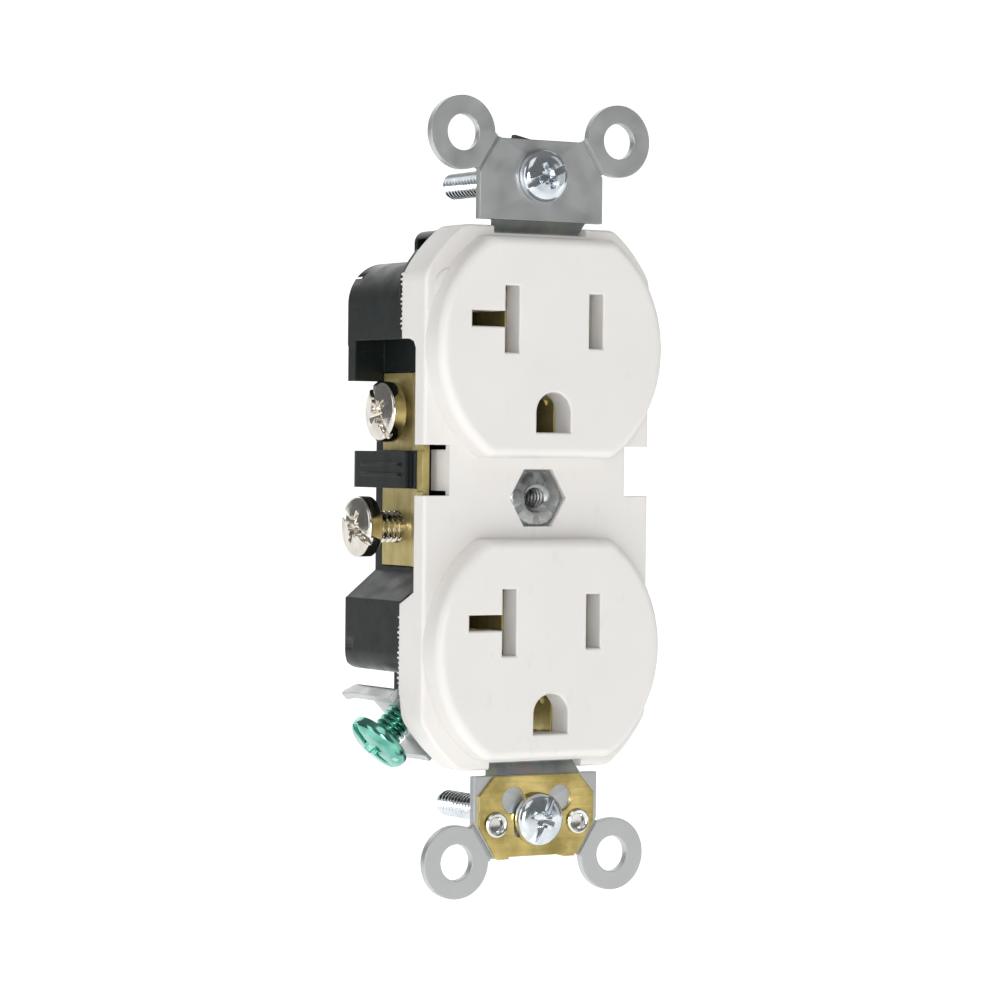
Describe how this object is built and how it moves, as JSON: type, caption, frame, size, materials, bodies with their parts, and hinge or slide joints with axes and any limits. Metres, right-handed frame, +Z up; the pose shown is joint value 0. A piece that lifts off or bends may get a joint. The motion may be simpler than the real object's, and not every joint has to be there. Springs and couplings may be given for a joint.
{
  "type": "duplex wall outlet",
  "caption": "Grounding duplex receptacle with T-slots: two-lobed face, strap with plaster ears, side terminal screws, ground screw and captive mounting screws.",
  "frame": {"origin": "midway between the two mounting screws, on the front plane of the strap's ears (the wall surface plane is 1.05 mm behind it)", "axes": "+X to the right as the user faces the outlet, +Y back into the wall, +Z up, the ground holes being below the blade slots"},
  "size_m": [0.0402, 0.027, 0.1032],
  "materials": {
    "face": "warm white moulded nylon, fine satin",
    "body": "black moulded thermoplastic, slightly glossy",
    "strap": "galvanised sheet steel, mottled, satin",
    "standoff": "zinc-plated steel, satin",
    "contact_brass": "plain brass strip, slightly tarnished",
    "clip_brass": "bright spring brass",
    "rivet": "bright zinc-plated",
    "fibre": "dark vulcanised fibre",
    "nickel": "nickel-plated, slightly worn",
    "screw_brass": "plain brass, satin",
    "green_screw": "green dyed zinc plating, glossy",
    "zinc": "bright zinc-plated steel"
  },
  "bodies": {
    "device": {"face_cover": "face", "rear_body": "body", "mounting_strap": "strap", "plate_screw_standoff": "standoff", "neutral_bus": "contact_brass", "hot_bus": "contact_brass", "self_ground_clip": "clip_brass", "clip_rivet_left": "rivet", "clip_rivet_right": "rivet", "ground_contact_upper": "contact_brass", "ground_contact_lower": "contact_brass", "ground_rivet_upper": "rivet", "ground_rivet_lower": "rivet", "screw_retainer_upper": "fibre", "screw_retainer_lower": "fibre", "assembly_screw_upper_left": "zinc", "assembly_screw_upper_right": "zinc", "assembly_screw_lower_left": "zinc", "assembly_screw_lower_right": "zinc"},
    "neutral_screw_upper": {"neutral_screw_upper": "nickel"},
    "neutral_screw_lower": {"neutral_screw_lower": "nickel"},
    "hot_screw_upper": {"hot_screw_upper": "screw_brass"},
    "hot_screw_lower": {"hot_screw_lower": "screw_brass"},
    "ground_screw": {"ground_screw": "green_screw"},
    "mounting_screw_upper": {"mounting_screw_upper": "zinc"},
    "mounting_screw_lower": {"mounting_screw_lower": "zinc"}
  },
  "joints": [
    {"name": "neutral_screw_upper_travel", "type": "slide", "parent": "device", "child": "neutral_screw_upper", "axis": [-1, 0, 0], "range_m": [-0.00065, 0.0034]},
    {"name": "neutral_screw_lower_travel", "type": "slide", "parent": "device", "child": "neutral_screw_lower", "axis": [-1, 0, 0], "range_m": [-0.00405, 0]},
    {"name": "hot_screw_upper_travel", "type": "slide", "parent": "device", "child": "hot_screw_upper", "axis": [1, 0, 0], "range_m": [-0.00065, 0.0034]},
    {"name": "hot_screw_lower_travel", "type": "slide", "parent": "device", "child": "hot_screw_lower", "axis": [1, 0, 0], "range_m": [-0.00405, 0]},
    {"name": "ground_screw_travel", "type": "slide", "parent": "device", "child": "ground_screw", "axis": [-0.7193, 0, -0.6947], "range_m": [-0.0029, 0.0025]},
    {"name": "mounting_screw_upper_travel", "type": "slide", "parent": "device", "child": "mounting_screw_upper", "axis": [0, -1, 0], "range_m": [0, 0.006]},
    {"name": "mounting_screw_lower_travel", "type": "slide", "parent": "device", "child": "mounting_screw_lower", "axis": [0, -1, 0], "range_m": [0, 0.006]}
  ]
}
